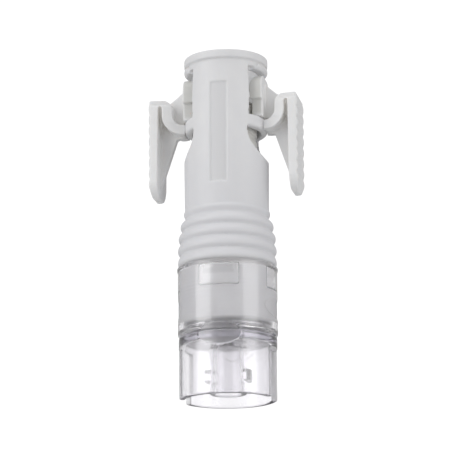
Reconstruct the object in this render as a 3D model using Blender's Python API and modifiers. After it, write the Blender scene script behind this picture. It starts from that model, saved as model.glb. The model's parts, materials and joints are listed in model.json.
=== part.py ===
"""Syringe adaptor of a closed drug-transfer system.

It has a white housing with two squeeze levers, and a clear luer end that swivels. The tube stands upright:
+Z runs from the luer end to the flanged mouth, the front is -Y, and the levers are at -X and +X. The origin
is the centre of the luer guard's lower rim. Outlines are in millimetres, and the solids are in metres.
"""

import math

import bmesh
import bpy
from mathutils import Matrix, Vector

MM = 0.001
COLLECTION = "syringe_adaptor"
SEGMENTS = 48
SMALL_SEGMENTS = 28
WELD = 0.000002

# Heights along the tube
TOTAL_LENGTH = 58.0
FLANGE_THICKNESS = 1.4
WINDOW_TOP = 55.15
WINDOW_BOTTOM = 40.0
BEAD_TOP = 31.55
RIB_TOP = 30.2
RIB_PITCH = 2.06
SKIRT_BOTTOM = 12.3
COLLAR_TOP = 22.0
COLLAR_BOTTOM = 10.6
COLLAR_LIP = 0.6
SNAP_TOP = 21.35
GUARD_TOP = 10.3
LUER_MOUTH = 1.0

# Radii
FLANGE_RADIUS = 7.03
MOUTH_WALL_RADIUS = 6.56
BODY_RADIUS = 6.97
BORE_RADIUS = 5.4
SKIRT_RADIUS = 7.2
COLLAR_RADIUS = 8.2
COLLAR_BORE = 7.45
GUARD_RADIUS = 8.07
GUARD_WALL = 1.0
LUER_RADIUS = 3.05
LUER_MOUTH_RADIUS = 2.15
LUER_TAPER = 0.03
LUG_RADIUS = 3.95
LUMEN_RADIUS = 0.65
FIT_GAP = 0.25
FRONT_OVAL = (3.7, 1.95, 9.85)  # half width, half height and height of the dish across collar and guard

# Levers and the torsion bars that carry them
WINDOW_HALF_WIDTH = 4.4
BAR_LOW = 45.0
BAR_HIGH = 47.2
BAR_INNER = 5.7
BAR_OUTER = 6.9
PIVOT_X = 0.5 * (BAR_INNER + BAR_OUTER)
PIVOT_Z = 0.5 * (BAR_LOW + BAR_HIGH)
PAD_INNER = 11.1
PAD_OUTER = 12.5
PAD_TOP = 50.87
PAD_BOTTOM = 34.5
PAD_HALF_WIDTH = 3.55
RIDGE_HEIGHT = 0.18
RIDGE_PITCH = 1.87
RIDGE_COUNT = 8
STRAP_THICKNESS = 1.7
STRAP_BEND_CENTRE = (7.15, 48.3)
STRAP_BEND_RADIUS = 1.55
WEB_HALF = 0.6

# Septum carriage, needle and spring inside the bore
CARRIAGE_RADIUS = 5.15
CARRIAGE_BOTTOM = 38.5
CARRIAGE_TOP = 49.4
REAR_SEAT = 42.4
FRONT_SEAT = 47.0
SEAT_GAP = 0.15
SEPTUM_RADIUS = 3.5
RING_BORE = 2.95
NEEDLE_RADIUS = 0.45
NEEDLE_BOTTOM = 9.6
NEEDLE_TIP = 46.4
SPRING_RADIUS = 4.3
SPRING_WIRE = 0.25
SPRING_TURNS = 9
SPRING_BOTTOM = 13.3

WHITE = ((0.80, 0.80, 0.81), 0.42, 0.0)
CLEAR = ((0.86, 0.85, 0.88), 0.10, 0.0)
RUBBER = ((0.62, 0.63, 0.65), 0.60, 0.0)
STEEL = ((0.70, 0.70, 0.72), 0.25, 1.0)


# ---------------------------------------------------------------- scene and materials

def clear_scene():
    for item in list(bpy.data.objects):
        bpy.data.objects.remove(item, do_unlink=True)


def new_collection(name):
    collection = bpy.data.collections.new(name)
    bpy.context.scene.collection.children.link(collection)
    return collection


def material(name, look):
    colour, roughness, metallic = look
    made = bpy.data.materials.new(name)
    made.use_nodes = True
    shader = made.node_tree.nodes["Principled BSDF"]
    shader.inputs["Base Color"].default_value = (*colour, 1.0)
    shader.inputs["Roughness"].default_value = roughness
    shader.inputs["Metallic"].default_value = metallic
    return made


def finish(obj, look, smooth_angle=35):
    """Gives a sub-part its own material and smooth shading, and files it with the parts."""
    obj.data.materials.clear()
    obj.data.materials.append(material(obj.name, look))
    obj.data.shade_smooth()
    obj.data.set_sharp_from_angle(angle=math.radians(smooth_angle))
    parts.objects.link(obj)
    return obj


def as_guide(obj):
    """Files a shape that only cuts or joins another one."""
    obj.hide_render = True
    obj.display_type = "WIRE"
    cutters.objects.link(obj)
    return obj


# ---------------------------------------------------------------- outlines

def rounded(corners, steps=4):
    """Outline through (u, v, radius) corners, each rounded by an arc of its own radius."""
    points = []
    count = len(corners)
    for i, (u, v, radius) in enumerate(corners):
        here = Vector((u, v))
        if radius <= 0:
            points.append((u, v))
            continue
        to_last = (Vector(corners[i - 1][:2]) - here).normalized()
        to_next = (Vector(corners[(i + 1) % count][:2]) - here).normalized()
        half = 0.5 * to_last.angle(to_next)
        centre = here + (to_last + to_next).normalized() * (radius / math.sin(half))
        start = here + to_last * (radius / math.tan(half)) - centre
        end = here + to_next * (radius / math.tan(half)) - centre
        sweep = start.angle_signed(end)
        for k in range(steps + 1):
            turn = -sweep * k / steps
            spoke = Vector((start.x * math.cos(turn) - start.y * math.sin(turn),
                            start.x * math.sin(turn) + start.y * math.cos(turn)))
            points.append(tuple(centre + spoke))
    return points


def arc(centre, radius, start_deg, end_deg, steps):
    """Points along an arc in an outline's own plane."""
    angles = [math.radians(start_deg + (end_deg - start_deg) * k / steps) for k in range(steps + 1)]
    return [(centre[0] + radius * math.cos(a), centre[1] + radius * math.sin(a)) for a in angles]


def sector(inner, outer, middle_deg, half_deg, steps=10):
    """Annular sector in plan, its middle at an angle counted from +X towards +Y."""
    low, high = middle_deg - half_deg, middle_deg + half_deg
    return arc((0, 0), outer, low, high, steps) + arc((0, 0), inner, high, low, steps)


# ---------------------------------------------------------------- solids

def baked(obj):
    """Turns an object with modifiers, or a curve, into a plain mesh object that isn't in any collection."""
    scratch = bpy.context.scene.collection
    scratch.objects.link(obj)
    bpy.context.view_layer.update()
    evaluated = obj.evaluated_get(bpy.context.evaluated_depsgraph_get())
    mesh = bpy.data.meshes.new_from_object(evaluated)
    mesh.transform(obj.matrix_world)
    work = bmesh.new()
    work.from_mesh(mesh)
    bmesh.ops.remove_doubles(work, verts=work.verts, dist=WELD)
    bmesh.ops.recalc_face_normals(work, faces=work.faces)
    work.to_mesh(mesh)
    work.free()
    name = obj.name
    bpy.data.objects.remove(obj, do_unlink=True)
    return bpy.data.objects.new(name, mesh)


def lathe(name, profile, segments=SEGMENTS):
    """Turns a (radius, height) profile, given top to bottom on its outer side, about the tube's axis."""
    mesh = bpy.data.meshes.new(name)
    count = len(profile)
    touches_axis = profile[0][0] == 0 and profile[-1][0] == 0
    last = count - 1 if touches_axis else count
    edges = [(i, (i + 1) % count) for i in range(last)]
    mesh.from_pydata([(r * MM, 0.0, z * MM) for r, z in profile], edges, [])
    obj = bpy.data.objects.new(name, mesh)
    screw = obj.modifiers.new("turn", "SCREW")
    screw.steps = segments
    screw.render_steps = segments
    screw.use_merge_vertices = True
    screw.merge_threshold = WELD
    return baked(obj)


def slab(name, outline, low, high, plane="XY"):
    """Extrudes a flat outline: in plan between two heights, or in side view (XZ or YZ) between two depths."""
    curve = bpy.data.curves.new(name, "CURVE")
    curve.dimensions = "2D"
    curve.fill_mode = "BOTH"
    curve.extrude = 0.5 * (high - low) * MM
    spline = curve.splines.new("POLY")
    spline.points.add(len(outline) - 1)
    for point, (u, v) in zip(spline.points, outline):
        point.co = (u * MM, v * MM, 0.0, 1.0)
    spline.use_cyclic_u = True
    obj = bpy.data.objects.new(name, curve)
    middle = 0.5 * (low + high) * MM
    turns = {
        "XY": Matrix.Translation((0, 0, middle)),
        "XZ": Matrix.Translation((0, middle, 0)) @ Matrix.Rotation(math.pi / 2, 4, "X"),
        "YZ": Matrix.Translation((middle, 0, 0)) @ Matrix.Rotation(math.pi / 2, 4, "Z")
        @ Matrix.Rotation(math.pi / 2, 4, "X"),
    }
    obj.matrix_world = turns[plane]
    return baked(obj)


def combine(obj, other, operation):
    """Boolean of obj with another shape, which becomes a guide."""
    as_guide(other)
    step = obj.modifiers.new(operation.lower(), "BOOLEAN")
    step.operation = operation
    step.solver = "EXACT"
    step.object = other
    return baked(obj)


def add(obj, *others):
    for other in others:
        obj = combine(obj, other, "UNION")
    return obj


def cut(obj, *others):
    for other in others:
        obj = combine(obj, other, "DIFFERENCE")
    return obj


def keep(obj, *others):
    for other in others:
        obj = combine(obj, other, "INTERSECT")
    return obj


def mirrored(obj, name):
    """Copy of a mesh object on the other side of the YZ plane."""
    mesh = obj.data.copy()
    work = bmesh.new()
    work.from_mesh(mesh)
    bmesh.ops.scale(work, vec=(-1, 1, 1), verts=work.verts)
    bmesh.ops.reverse_faces(work, faces=work.faces)
    work.to_mesh(mesh)
    work.free()
    return bpy.data.objects.new(name, mesh)


def place_origin(obj, x, z):
    """Moves the object's origin to its joint axis without moving its shape."""
    obj.data.transform(Matrix.Translation((-x * MM, 0, -z * MM)))
    obj.location = (x * MM, 0, z * MM)
    return obj


# ---------------------------------------------------------------- housing

def wall_radius(z):
    """Outer radius of the housing's plain wall: it drafts in towards the mouth above the windows' foot."""
    share = max(0.0, (z - WINDOW_BOTTOM) / (TOTAL_LENGTH - FLANGE_THICKNESS - WINDOW_BOTTOM))
    return BODY_RADIUS + (MOUTH_WALL_RADIUS - BODY_RADIUS) * min(1.0, share)


def rib_points(top, root, crest):
    """One grip rib: it swells downwards to a rounded crest and turns in to the next groove."""
    swell = crest - root
    return [
        (root, top),
        (root + 0.6 * swell, top - 0.45),
        (crest, top - 1.3),
        (crest - 0.06, top - 1.6),
        (crest - 0.26, top - 1.85),
    ]


def housing_profile():
    flange_under = TOTAL_LENGTH - FLANGE_THICKNESS
    profile = [
        (BORE_RADIUS + 0.3, TOTAL_LENGTH),
        (FLANGE_RADIUS - 0.25, TOTAL_LENGTH),
        (FLANGE_RADIUS, TOTAL_LENGTH - 0.25),
        (FLANGE_RADIUS, flange_under + 0.25),
        (FLANGE_RADIUS - 0.12, flange_under + 0.05),
        (wall_radius(flange_under) + 0.1, flange_under - 0.02),
        (wall_radius(flange_under), flange_under - 0.15),
        (BODY_RADIUS, WINDOW_BOTTOM),
        (BODY_RADIUS, BEAD_TOP),
        (BODY_RADIUS + 0.14, BEAD_TOP - 0.25),
        (BODY_RADIUS + 0.16, BEAD_TOP - 0.7),
        (BODY_RADIUS + 0.02, BEAD_TOP - 1.05),
    ]
    roots = (7.15, 7.52, 7.81, 7.89)
    crests = (7.67, 8.0, 8.13, 8.13)
    for index, (root, crest) in enumerate(zip(roots, crests)):
        profile += rib_points(RIB_TOP - index * RIB_PITCH, root, crest)
    hub_hole = 2.2
    floor_top = SPRING_BOTTOM
    profile += [
        (SKIRT_RADIUS, profile[-1][1] - 0.05),
        (SKIRT_RADIUS, SKIRT_BOTTOM + 0.2),
        (SKIRT_RADIUS - 0.2, SKIRT_BOTTOM),
        (hub_hole, SKIRT_BOTTOM),
        (hub_hole, floor_top),
        (BORE_RADIUS, floor_top),
        (BORE_RADIUS, TOTAL_LENGTH - 0.5),
    ]
    return profile


def side_window():
    """The opening through both sides, in the YZ plane: square at the lintel, well rounded at its foot."""
    foot_radius = 3.4
    corners = [
        (-WINDOW_HALF_WIDTH, WINDOW_TOP, 0.3),
        (-WINDOW_HALF_WIDTH, WINDOW_BOTTOM, foot_radius),
        (WINDOW_HALF_WIDTH, WINDOW_BOTTOM, foot_radius),
        (WINDOW_HALF_WIDTH, WINDOW_TOP, 0.3),
    ]
    return slab("window_cutter", rounded(corners, 6), -10, 10, "YZ")


def between_walls(name, profile, margin):
    """The part of a turned ring that lies in the side windows."""
    reach = WINDOW_HALF_WIDTH + margin
    block = [(-10, -reach), (10, -reach), (10, reach), (-10, reach)]
    return keep(lathe(name, profile), slab(name + "_span", block, 0, TOTAL_LENGTH + 2))


def lintel_beads():
    high = TOTAL_LENGTH - FLANGE_THICKNESS - 0.35
    low = WINDOW_TOP + 0.05
    profile = [
        (FLANGE_RADIUS - 0.2, high),
        (FLANGE_RADIUS, high - 0.25),
        (FLANGE_RADIUS, low + 0.45),
        (FLANGE_RADIUS - 0.35, low),
        (BORE_RADIUS + 0.4, low),
        (BORE_RADIUS + 0.4, high),
    ]
    return between_walls("lintel_beads", profile, 0.0)


def torsion_bars():
    profile = [
        (BAR_OUTER - 0.3, BAR_HIGH),
        (BAR_OUTER, BAR_HIGH - 0.35),
        (BAR_OUTER, BAR_LOW + 0.35),
        (BAR_OUTER - 0.3, BAR_LOW),
        (BAR_INNER, BAR_LOW),
        (BAR_INNER, BAR_HIGH),
    ]
    return between_walls("torsion_bars", profile, 0.2)


def front_panel():
    """Blank recess in the front wall, the same depth all over although the wall is round and drafted."""
    depth = 0.16
    half_width = 1.45
    low, high = 35.3, 52.6
    block = rounded([(-half_width, low, 0.2), (half_width, low, 0.2),
                     (half_width, high, 0.2), (-half_width, high, 0.2)], 2)
    core = [(0, high + 2), (wall_radius(high + 2) - depth, high + 2),
            (BODY_RADIUS - depth, WINDOW_BOTTOM), (BODY_RADIUS - depth, low - 2), (0, low - 2)]
    return cut(slab("panel_cutter", block, -10, -3, "XZ"), lathe("panel_core", core))


def snap_tabs():
    """Four low tabs on the skirt that the clear collar's pockets snap over."""
    half_angle = 19
    height = 1.4
    tabs = []
    for index in range(4):
        outline = sector(SKIRT_RADIUS - 0.3, COLLAR_BORE + 0.3, 90 * index, half_angle)
        tabs.append(slab(f"snap_tab_{index}", outline, SNAP_TOP - height, SNAP_TOP))
    return tabs


def make_housing():
    body = lathe("housing", housing_profile())
    body = cut(body, side_window())
    body = add(body, lintel_beads(), torsion_bars(), *snap_tabs())
    body = cut(body, front_panel())
    return finish(body, WHITE)


# ---------------------------------------------------------------- levers

def lever_half_width(x):
    """Half the lever's width in Y: narrow at its root, full at the pad."""
    root_x, root_half, strap_x, strap_half = 7.2, 0.9, 8.8, 2.8
    if x <= strap_x:
        share = max(0.0, (x - root_x) / (strap_x - root_x))
        return root_half + (strap_half - root_half) * share * (2 - share)
    share = min(1.0, (x - strap_x) / (PAD_INNER - strap_x))
    return strap_half + (PAD_HALF_WIDTH - strap_half) * share


def ridged_face():
    """The pad's outer face from top to bottom: shallow scallops that meet in sharp valleys."""
    points = []
    per_ridge = 4
    for index in range(RIDGE_COUNT):
        top = PAD_TOP - 0.75 - index * RIDGE_PITCH
        lean = -0.01 * index
        for k in range(per_ridge):
            bulge = math.sin(math.pi * k / per_ridge)
            points.append((PAD_OUTER + lean + RIDGE_HEIGHT * bulge, top - RIDGE_PITCH * k / per_ridge))
    return points


def strap_and_pad():
    """Side view of the strap that rises from the root, turns over and comes down as the ridged pad."""
    bend_x, bend_z = STRAP_BEND_CENTRE
    inner_x = bend_x + STRAP_BEND_RADIUS
    outer_x = inner_x + STRAP_THICKNESS
    outline = [(bend_x, bend_z - STRAP_BEND_RADIUS)]
    outline += arc(STRAP_BEND_CENTRE, STRAP_BEND_RADIUS, -75, 0, 5)
    outline += arc((inner_x + 1.5, PAD_TOP - 1.5), 1.5, 180, 90, 5)
    outline += arc((PAD_OUTER - 0.6, PAD_TOP - 0.6), 0.6, 85, 15, 4)
    outline += ridged_face()
    outline += arc((PAD_OUTER - 0.73, PAD_BOTTOM + 0.65), 0.65, 0, -180, 6)
    outline += [(PAD_INNER, PAD_BOTTOM + 2.5), (outer_x + 0.42, PAD_TOP - 1.6)]
    outline += arc((outer_x + 0.21, PAD_TOP - 1.45), 0.21, 0, 180, 4)
    outline += arc(STRAP_BEND_CENTRE, STRAP_BEND_RADIUS + STRAP_THICKNESS, 0, -90, 7)
    solid = slab("strap_and_pad", outline, -1, 1, "XZ")
    for vertex in solid.data.vertices:
        vertex.co.y *= lever_half_width(vertex.co.x / MM)
    corner = 1.1
    side, low, high = PAD_HALF_WIDTH + 0.1, PAD_BOTTOM - 0.1, PAD_TOP + 0.1
    tongue = rounded([(-side, low, corner), (side, low, corner), (side, high, 0.3), (-side, high, 0.3)], 4)
    return keep(solid, slab("pad_tongue", tongue, 0, 20, "YZ"))


def lever_web():
    """Thin plate in the lever's middle plane: it ties the claw, the strap and the pad together."""
    in_claw = 6.5
    in_pad = PAD_INNER + 0.55
    root = BAR_OUTER + 0.3
    outline = [
        (in_claw, BAR_HIGH + 0.4), (in_claw, 53.5), (6.95, 53.6), (7.15, 52.95), (7.6, 52.4), (8.4, 51.75),
        (9.6, 50.7), (in_pad, 49.0), (in_pad, PAD_BOTTOM + 2.1), (PAD_INNER, PAD_BOTTOM + 1.9),
        (8.35, 44.6), (7.6, 44.65), (root, BAR_LOW - 0.05), (root, BAR_HIGH + 0.1),
    ]
    return slab("lever_web", outline, -WEB_HALF, WEB_HALF, "XZ")


def claw():
    """Curved plate that fills the window above the torsion bar, with a hook inside its rounded top."""
    low, high = BAR_HIGH + 0.3, 54.6
    half = 3.6
    plate = slab("claw", sector(BAR_INNER + 0.05, BAR_OUTER, 0, 36, 12), low, high)
    nail = rounded([(-half, low - 1, 0), (half, low - 1, 0), (half, high, 2.6), (-half, high, 2.6)], 6)
    plate = keep(plate, slab("claw_nail", nail, 0, 20, "YZ"))
    hook = slab("claw_hook", sector(5.0, BAR_INNER + 0.3, 0, 17, 6), 53.2, 54.4)
    return add(plate, hook)


def make_levers():
    lever = add(claw(), lever_web(), strap_and_pad())
    lever.name = "right_lever"
    left = mirrored(lever, "left_lever")
    for side, obj in ((1, lever), (-1, left)):
        place_origin(finish(obj, WHITE, 30), side * PIVOT_X, PIVOT_Z)


# ---------------------------------------------------------------- clear collar and luer end

def oval(name, radius, half_width, half_height, height, turned):
    """Cutter for a shallow oval dish on the outside of a round wall."""
    steps = 28
    outline = [(half_width * math.cos(2 * math.pi * k / steps),
                height + half_height * math.sin(2 * math.pi * k / steps)) for k in range(steps)]
    prism = slab(name, outline, -10, 10, "YZ" if turned else "XZ")
    core = [(0, height + 4), (radius, height + 4), (radius, height - 4), (0, height - 4)]
    return cut(prism, lathe(name + "_core", core))


def make_collar():
    """Clear ring snapped over the skirt's tabs by pockets inside it; its lower lip keeps the luer end in."""
    lip_radius = 6.5
    lip_top = COLLAR_BOTTOM + COLLAR_LIP
    rim = 0.12
    skin = 0.22
    window_half_angle = 25
    window_low, window_high = 17.85, SNAP_TOP + 0.1
    profile = [
        (COLLAR_RADIUS, COLLAR_TOP),
        (COLLAR_RADIUS + rim, COLLAR_TOP - 0.15),
        (COLLAR_RADIUS + rim, COLLAR_TOP - 0.5),
        (COLLAR_RADIUS, COLLAR_TOP - 0.65),
        (COLLAR_RADIUS, COLLAR_BOTTOM + 0.15),
        (COLLAR_RADIUS - 0.15, COLLAR_BOTTOM),
        (lip_radius, COLLAR_BOTTOM),
        (lip_radius, lip_top),
        (COLLAR_BORE, lip_top),
        (COLLAR_BORE, COLLAR_TOP),
    ]
    ring = lathe("clear_collar", profile)
    for index in range(4):
        outline = sector(COLLAR_BORE - 0.4, COLLAR_RADIUS - skin, 90 * index, window_half_angle)
        ring = cut(ring, slab(f"snap_pocket_{index}", outline, window_low, window_high))
    ring = cut(ring, oval("side_dish", COLLAR_RADIUS - 0.12, 4.35, 1.8, 14.9, True))
    ring = cut(ring, oval("front_dish", COLLAR_RADIUS - 0.3, *FRONT_OVAL, False))
    return finish(ring, CLEAR)


def make_guard():
    """Clear luer guard: a swivel flange, a plate, and two long shells that leave a slot at each side."""
    flange = 0.5
    swivel_top = COLLAR_BOTTOM + COLLAR_LIP + FIT_GAP + flange
    inner = GUARD_RADIUS - GUARD_WALL
    neck = 6.2
    neck_bore = 5.2
    plate_under = GUARD_TOP - 1.0
    stem_hole = 2.0
    profile = [
        (SKIRT_RADIUS, swivel_top),
        (SKIRT_RADIUS, swivel_top - flange),
        (neck, swivel_top - flange),
        (neck, GUARD_TOP),
        (GUARD_RADIUS - 0.15, GUARD_TOP),
        (GUARD_RADIUS, GUARD_TOP - 0.15),
        (GUARD_RADIUS, 0.15),
        (GUARD_RADIUS - 0.15, 0.0),
        (inner + 0.1, 0.0),
        (inner, 0.1),
        (inner, plate_under),
        (stem_hole, plate_under),
        (stem_hole, GUARD_TOP),
        (neck_bore, GUARD_TOP),
        (neck_bore, swivel_top),
    ]
    guard = lathe("luer_guard", profile)
    slot_half = 18.0
    slot_top = 8.3
    for index in range(2):
        outline = sector(inner - 0.5, GUARD_RADIUS + 1, 180 * index, slot_half)
        guard = cut(guard, slab(f"side_slot_{index}", outline, -1, slot_top))
    guard = cut(guard, oval("guard_dish", GUARD_RADIUS - 0.25, *FRONT_OVAL, False))
    return finish(guard, CLEAR)


def make_female_luer():
    """Female luer: tapered socket, two lugs across X, and a stem that runs up through the guard's plate."""
    plate_under = GUARD_TOP - 1.0
    socket_top = 8.6
    stem = 1.8
    stem_top = 12.2
    lug_half_angle = 32
    lug_low = 3.05
    narrow = LUER_MOUTH_RADIUS - LUER_TAPER * (socket_top - LUER_MOUTH)
    profile = [
        (stem, stem_top),
        (stem, plate_under - FIT_GAP),
        (LUER_RADIUS - 0.3, plate_under - FIT_GAP),
        (LUER_RADIUS, plate_under - FIT_GAP - 0.3),
        (LUER_RADIUS, LUER_MOUTH + 0.2),
        (LUER_RADIUS - 0.2, LUER_MOUTH),
        (LUER_MOUTH_RADIUS, LUER_MOUTH),
        (narrow, socket_top),
        (LUMEN_RADIUS, socket_top + 0.5),
        (LUMEN_RADIUS, stem_top),
    ]
    luer = lathe("female_luer", profile, SMALL_SEGMENTS)
    for index in range(2):
        outline = sector(LUER_RADIUS - 0.4, LUG_RADIUS, 180 * index, lug_half_angle, 8)
        luer = add(luer, slab(f"luer_lug_{index}", outline, lug_low, lug_low + 1.8))
    return finish(luer, CLEAR)


# ---------------------------------------------------------------- needle, septa and spring

def make_needle_hub():
    """Plastic hub that holds the needle above the stem of the female luer."""
    radius, low, high = 1.9, 12.5, 16.4
    profile = [(radius - 0.2, high), (radius, high - 0.2), (radius, low),
               (LUMEN_RADIUS, low), (LUMEN_RADIUS, high)]
    return finish(lathe("needle_hub", profile, SMALL_SEGMENTS), WHITE)


def make_needle():
    """Steel cannula with a slanted point."""
    bore = 0.28
    profile = [(NEEDLE_RADIUS, NEEDLE_TIP), (NEEDLE_RADIUS, NEEDLE_BOTTOM), (bore, NEEDLE_BOTTOM),
               (bore, NEEDLE_TIP)]
    tube = lathe("needle", profile, 20)
    slant = [(-1.0, NEEDLE_TIP - 2.0), (1.0, NEEDLE_TIP + 0.4), (-1.0, NEEDLE_TIP + 0.4)]
    return finish(cut(tube, slab("point_cutter", slant, -1, 1, "XZ")), STEEL)


def make_carriage():
    """Sliding carriage that keeps a septum above and below the needle's point."""
    pocket = SEPTUM_RADIUS + SEAT_GAP
    throat = 2.9
    profile = [
        (CARRIAGE_RADIUS - 0.3, CARRIAGE_TOP),
        (CARRIAGE_RADIUS, CARRIAGE_TOP - 0.3),
        (CARRIAGE_RADIUS, CARRIAGE_BOTTOM + 0.3),
        (CARRIAGE_RADIUS - 0.3, CARRIAGE_BOTTOM),
        (pocket, CARRIAGE_BOTTOM),
        (pocket, REAR_SEAT),
        (throat, REAR_SEAT),
        (throat, FRONT_SEAT),
        (pocket, FRONT_SEAT),
        (pocket, CARRIAGE_TOP),
    ]
    return finish(lathe("septum_carriage", profile), WHITE)


def make_front_septum():
    """Rubber face that the mating port presses against; the narrow bore stands for its self-closing slit."""
    face_radius, face_top = RING_BORE - SEAT_GAP, 50.3
    low, shoulder = FRONT_SEAT + SEAT_GAP, 48.7
    profile = [
        (face_radius - 0.3, face_top),
        (face_radius, face_top - 0.25),
        (face_radius, shoulder),
        (SEPTUM_RADIUS, shoulder),
        (SEPTUM_RADIUS, low),
        (LUMEN_RADIUS, low),
        (LUMEN_RADIUS, face_top),
    ]
    return finish(lathe("front_septum", profile, SMALL_SEGMENTS), RUBBER)


def make_front_septum_ring():
    """White ring on top of the carriage that holds the front septum down."""
    radius, top = 4.8, 50.1
    low, spigot_end = CARRIAGE_TOP + SEAT_GAP, 48.9
    profile = [
        (radius - 0.2, top),
        (radius, top - 0.2),
        (radius, low),
        (SEPTUM_RADIUS, low),
        (SEPTUM_RADIUS, spigot_end),
        (RING_BORE, spigot_end),
        (RING_BORE, top),
    ]
    return finish(lathe("front_septum_ring", profile, SMALL_SEGMENTS), WHITE)


def make_rear_septum():
    """Rubber disc that closes the carriage's chamber below the needle's point."""
    high, low = REAR_SEAT - SEAT_GAP, REAR_SEAT - 2.1
    profile = [(SEPTUM_RADIUS, high), (SEPTUM_RADIUS, low), (LUMEN_RADIUS, low), (LUMEN_RADIUS, high)]
    return finish(lathe("rear_septum", profile, SMALL_SEGMENTS), RUBBER)


def make_rear_septum_ring():
    """Press ring that holds the rear septum in its pocket."""
    high, low, bore = REAR_SEAT - 2.1 - SEAT_GAP, CARRIAGE_BOTTOM + 0.1, 1.6
    profile = [(SEPTUM_RADIUS, high), (SEPTUM_RADIUS, low), (bore, low), (bore, high)]
    return finish(lathe("rear_septum_ring", profile, SMALL_SEGMENTS), WHITE)


def make_return_spring():
    """Helical spring from the housing's floor to the carriage, with closed end turns."""
    name = "return_spring"
    low = SPRING_BOTTOM + SEAT_GAP + SPRING_WIRE
    high = CARRIAGE_BOTTOM - SEAT_GAP - SPRING_WIRE
    per_turn = 14
    closed = 1.0
    count = SPRING_TURNS * per_turn
    curve = bpy.data.curves.new(name, "CURVE")
    curve.dimensions = "3D"
    curve.bevel_depth = SPRING_WIRE * MM
    curve.bevel_resolution = 1
    curve.use_fill_caps = True
    spline = curve.splines.new("POLY")
    spline.points.add(count)
    end_rise = 2.3 * SPRING_WIRE
    for k, point in enumerate(spline.points):
        turn = k / per_turn
        if turn < closed:
            z = low + end_rise * turn / closed
        elif turn > SPRING_TURNS - closed:
            z = high - end_rise * (SPRING_TURNS - turn) / closed
        else:
            share = (turn - closed) / (SPRING_TURNS - 2 * closed)
            z = low + end_rise + (high - low - 2 * end_rise) * share
        angle = 2 * math.pi * turn
        point.co = (SPRING_RADIUS * math.cos(angle) * MM, SPRING_RADIUS * math.sin(angle) * MM, z * MM, 1.0)
    return finish(baked(bpy.data.objects.new(name, curve)), STEEL)


clear_scene()
parts = new_collection(COLLECTION)
cutters = new_collection("cutters")
make_housing()
make_levers()
make_collar()
make_guard()
make_female_luer()
make_needle_hub()
make_needle()
make_carriage()
make_front_septum()
make_front_septum_ring()
make_rear_septum()
make_rear_septum_ring()
make_return_spring()
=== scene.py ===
"""Looks of the syringe adaptor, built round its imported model.

Every piece is modelled again here, in millimetres, and turned into metres when it is shown. The main heights
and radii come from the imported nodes' boxes and joints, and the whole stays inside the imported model's box. The
tube stands upright, its front is -Y and its two levers are at -X and +X.
"""

import json
import math

import bmesh
import bpy
from mathutils import Matrix, Vector


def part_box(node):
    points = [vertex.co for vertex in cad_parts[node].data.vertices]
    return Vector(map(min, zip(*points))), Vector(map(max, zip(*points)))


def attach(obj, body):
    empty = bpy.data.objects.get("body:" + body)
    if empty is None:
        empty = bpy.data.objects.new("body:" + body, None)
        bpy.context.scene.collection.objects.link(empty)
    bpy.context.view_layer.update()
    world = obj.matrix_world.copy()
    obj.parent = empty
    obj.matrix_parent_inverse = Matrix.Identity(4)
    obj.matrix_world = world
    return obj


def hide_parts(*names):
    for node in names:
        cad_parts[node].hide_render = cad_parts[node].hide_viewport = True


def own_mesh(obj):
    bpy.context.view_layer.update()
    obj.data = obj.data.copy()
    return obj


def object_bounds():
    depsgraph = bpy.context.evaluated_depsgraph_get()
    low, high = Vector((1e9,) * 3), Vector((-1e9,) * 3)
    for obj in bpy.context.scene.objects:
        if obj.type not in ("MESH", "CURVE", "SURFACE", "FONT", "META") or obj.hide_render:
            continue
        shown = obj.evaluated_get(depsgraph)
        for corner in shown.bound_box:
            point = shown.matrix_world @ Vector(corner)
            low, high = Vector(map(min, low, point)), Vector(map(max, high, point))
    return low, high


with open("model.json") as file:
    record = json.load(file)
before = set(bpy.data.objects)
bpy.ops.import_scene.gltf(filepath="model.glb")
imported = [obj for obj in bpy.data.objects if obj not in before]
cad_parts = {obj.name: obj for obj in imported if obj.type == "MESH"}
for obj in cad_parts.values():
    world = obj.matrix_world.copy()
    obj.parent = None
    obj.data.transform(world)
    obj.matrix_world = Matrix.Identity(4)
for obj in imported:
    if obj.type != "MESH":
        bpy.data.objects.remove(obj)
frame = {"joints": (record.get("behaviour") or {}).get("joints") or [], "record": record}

MM = 0.001
FULL_TURN = 2 * math.pi
ROUND = 160
THROUGH = 10  # a cutter that reaches this far, in millimetres, goes right through the tube
cad_low, cad_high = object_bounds()


def span(node):
    """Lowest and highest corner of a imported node, in millimetres."""
    low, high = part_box(node)
    return low / MM, high / MM


def pivot(joint_name):
    """Where a hinge's axis passes, in millimetres."""
    joint = next(j for j in frame["joints"] if j["name"] == joint_name)
    return Vector(joint["pos_m"]) / MM


# ---------------------------------------------------------------- sizes, in millimetres

housing_low, housing_high = span("housing")
collar_low, collar_high = span("clear_collar")
guard_low, guard_high = span("luer_guard")
luer_low, luer_high = span("female_luer")
lever_low, lever_high = span("right_lever")
carriage_low, carriage_high = span("septum_carriage")
hinge = pivot("right_lever_hinge")

LENGTH = housing_high.z
FLANGE_RADIUS = 7.03
FLANGE_UNDER = LENGTH - 1.4
MOUTH_WALL = 6.56
BODY_RADIUS = 6.97
BORE_RADIUS = 5.4
SKIRT_RADIUS = 7.2
SKIRT_SHOWN = 7.52  # the skirt bears on the collar's bore, so no air shows between them
SKIRT_BOTTOM = housing_low.z
SNAP_HALF_DEG = 19
WINDOW_TOP = 55.6
WINDOW_BOTTOM = 40.0
WINDOW_HALF = 4.5
RIBS_TOP = 30.1
BAR_HALF_HEIGHT = 1.1
BAR_INNER = hinge.x - 0.6
BAR_OUTER = hinge.x + 0.6
RIB_PITCH = 2.06
SKIRT_RINGS = (13.0, 19.5, 1.6)  # foot, top and number in a millimetre of the fine rings on the skirt
PANEL = (1.45, 35.3, 52.6)  # half width, foot and top of the blank recess in the front wall

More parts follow.
